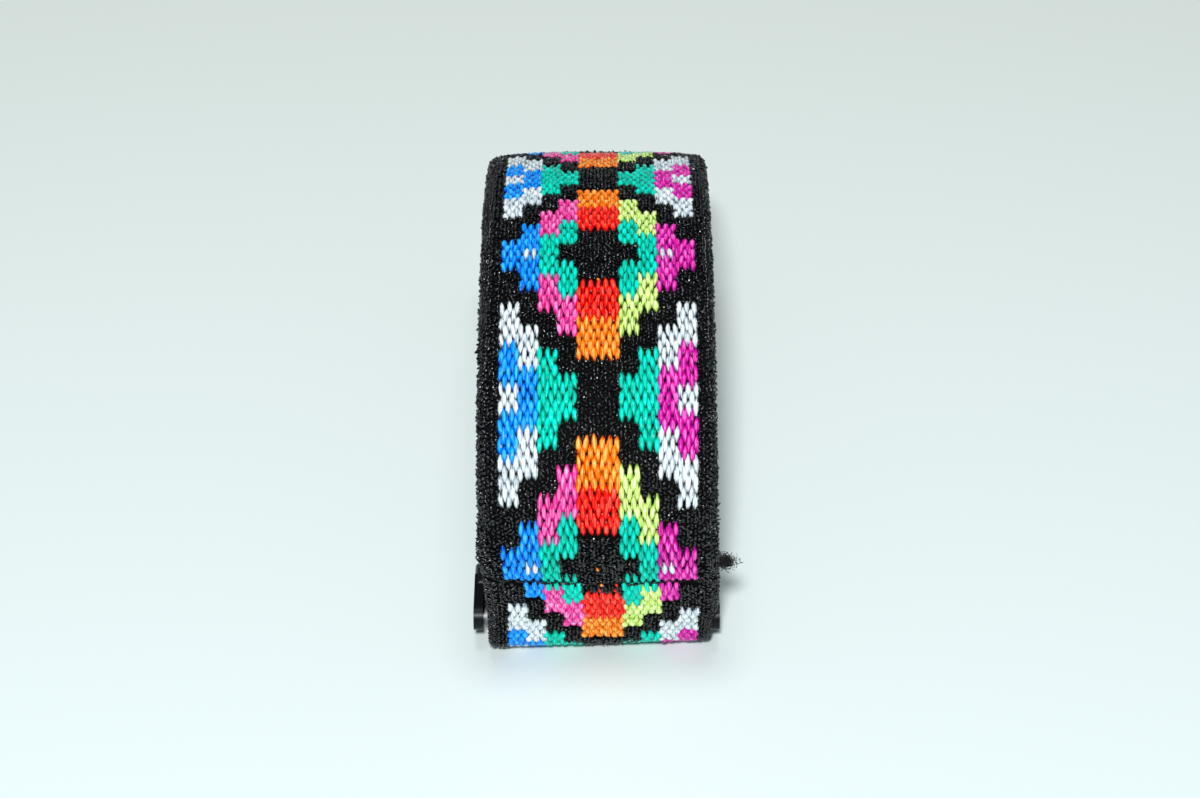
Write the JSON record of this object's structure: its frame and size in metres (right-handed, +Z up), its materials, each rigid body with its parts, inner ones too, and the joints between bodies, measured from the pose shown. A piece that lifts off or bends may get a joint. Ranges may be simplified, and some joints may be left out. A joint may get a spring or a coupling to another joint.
{
  "type": "elastic watch band",
  "caption": "Woven elastic watch band with a stepped diamond pattern, sewn round spring bars in two slide-in adapters.",
  "frame": {"origin": "bottom centre of the bounding box, on the plane of the adapters' undersides", "axes": "+X across the band, +Y from the near end to the far end, +Z up from the adapters to the crown of the loop"},
  "size_m": [0.027, 0.0678, 0.0339],
  "materials": {
    "face_weave": "woven polyester jacquard, coloured floats on black",
    "back_weave": "woven polyester, matt",
    "rubber_thread": "matt cut rubber",
    "sewing_thread": "twisted polyester thread",
    "coated_steel": "satin, dark coating",
    "polished_steel": "turned, bright",
    "spring_steel": "drawn wire"
  },
  "bodies": {
    "near_band": {"near_crown_face": "face_weave", "near_crown_threads": "rubber_thread", "near_crown_back": "back_weave", "near_shoulder": "face_weave"},
    "near_tail": {"near_sewn_end": "face_weave", "near_seam": "sewing_thread"},
    "near_lug": {"near_adapter": "coated_steel", "near_latch_spring": "spring_steel", "near_latch_retainer": "coated_steel", "near_bar_tube": "polished_steel", "near_bar_spring": "spring_steel"},
    "near_plunger": {"near_latch_plunger": "polished_steel"},
    "near_left_tip": {"near_bar_tip_left": "polished_steel"},
    "near_right_tip": {"near_bar_tip_right": "polished_steel"},
    "far_band": {"far_crown_face": "face_weave", "far_crown_threads": "rubber_thread", "far_crown_back": "back_weave", "far_shoulder": "face_weave"},
    "far_tail": {"far_sewn_end": "face_weave", "far_seam": "sewing_thread"},
    "far_lug": {"far_adapter": "coated_steel", "far_latch_spring": "spring_steel", "far_latch_retainer": "coated_steel", "far_bar_tube": "polished_steel", "far_bar_spring": "spring_steel"},
    "far_plunger": {"far_latch_plunger": "polished_steel"},
    "far_left_tip": {"far_bar_tip_left": "polished_steel"},
    "far_right_tip": {"far_bar_tip_right": "polished_steel"}
  },
  "joints": [
    {"name": "band_flex", "type": "hinge", "parent": "near_band", "child": "far_band", "pos_m": [0, -0.00286, 0.03287], "axis": [1, 0, 0], "range_deg": [-25, 45], "stiffness_Nm_per_rad": 0.04},
    {"name": "near_stretch", "type": "slide", "parent": "near_band", "child": "near_tail", "axis": [0, 0, -1], "range_m": [0, 0.008], "stiffness_N_per_m": 400, "deforming": ["near_shoulder"]},
    {"name": "near_swivel", "type": "hinge", "parent": "near_tail", "child": "near_lug", "pos_m": [0, -0.02989, 0.0034], "axis": [1, 0, 0], "range_deg": [-85, 25]},
    {"name": "near_latch", "type": "slide", "parent": "near_lug", "child": "near_plunger", "axis": [0, -1, 0], "range_m": [0, 0.0008], "stiffness_N_per_m": 600, "deforming": ["near_latch_spring"]},
    {"name": "near_left_tip_slide", "type": "slide", "parent": "near_lug", "child": "near_left_tip", "axis": [1, 0, 0], "range_m": [0, 0.001], "stiffness_N_per_m": 400, "deforming": ["near_bar_spring"]},
    {"name": "near_right_tip_slide", "type": "slide", "parent": "near_lug", "child": "near_right_tip", "axis": [-1, 0, 0], "range_m": [0, 0.001], "stiffness_N_per_m": 400, "deforming": ["near_bar_spring"]},
    {"name": "far_stretch", "type": "slide", "parent": "far_band", "child": "far_tail", "axis": [0, 0, -1], "range_m": [0, 0.008], "stiffness_N_per_m": 400, "deforming": ["far_shoulder"]},
    {"name": "far_swivel", "type": "hinge", "parent": "far_tail", "child": "far_lug", "pos_m": [0, 0.02989, 0.0034], "axis": [-1, 0, 0], "range_deg": [-85, 25]},
    {"name": "far_latch", "type": "slide", "parent": "far_lug", "child": "far_plunger", "axis": [0, 1, 0], "range_m": [0, 0.0008], "stiffness_N_per_m": 600, "deforming": ["far_latch_spring"]},
    {"name": "far_left_tip_slide", "type": "slide", "parent": "far_lug", "child": "far_left_tip", "axis": [1, 0, 0], "range_m": [0, 0.001], "stiffness_N_per_m": 400, "deforming": ["far_bar_spring"]},
    {"name": "far_right_tip_slide", "type": "slide", "parent": "far_lug", "child": "far_right_tip", "axis": [-1, 0, 0], "range_m": [0, 0.001], "stiffness_N_per_m": 400, "deforming": ["far_bar_spring"]}
  ],
  "couplings": [
    {"joint": "far_stretch", "follows": "near_stretch", "ratio": 1}
  ]
}
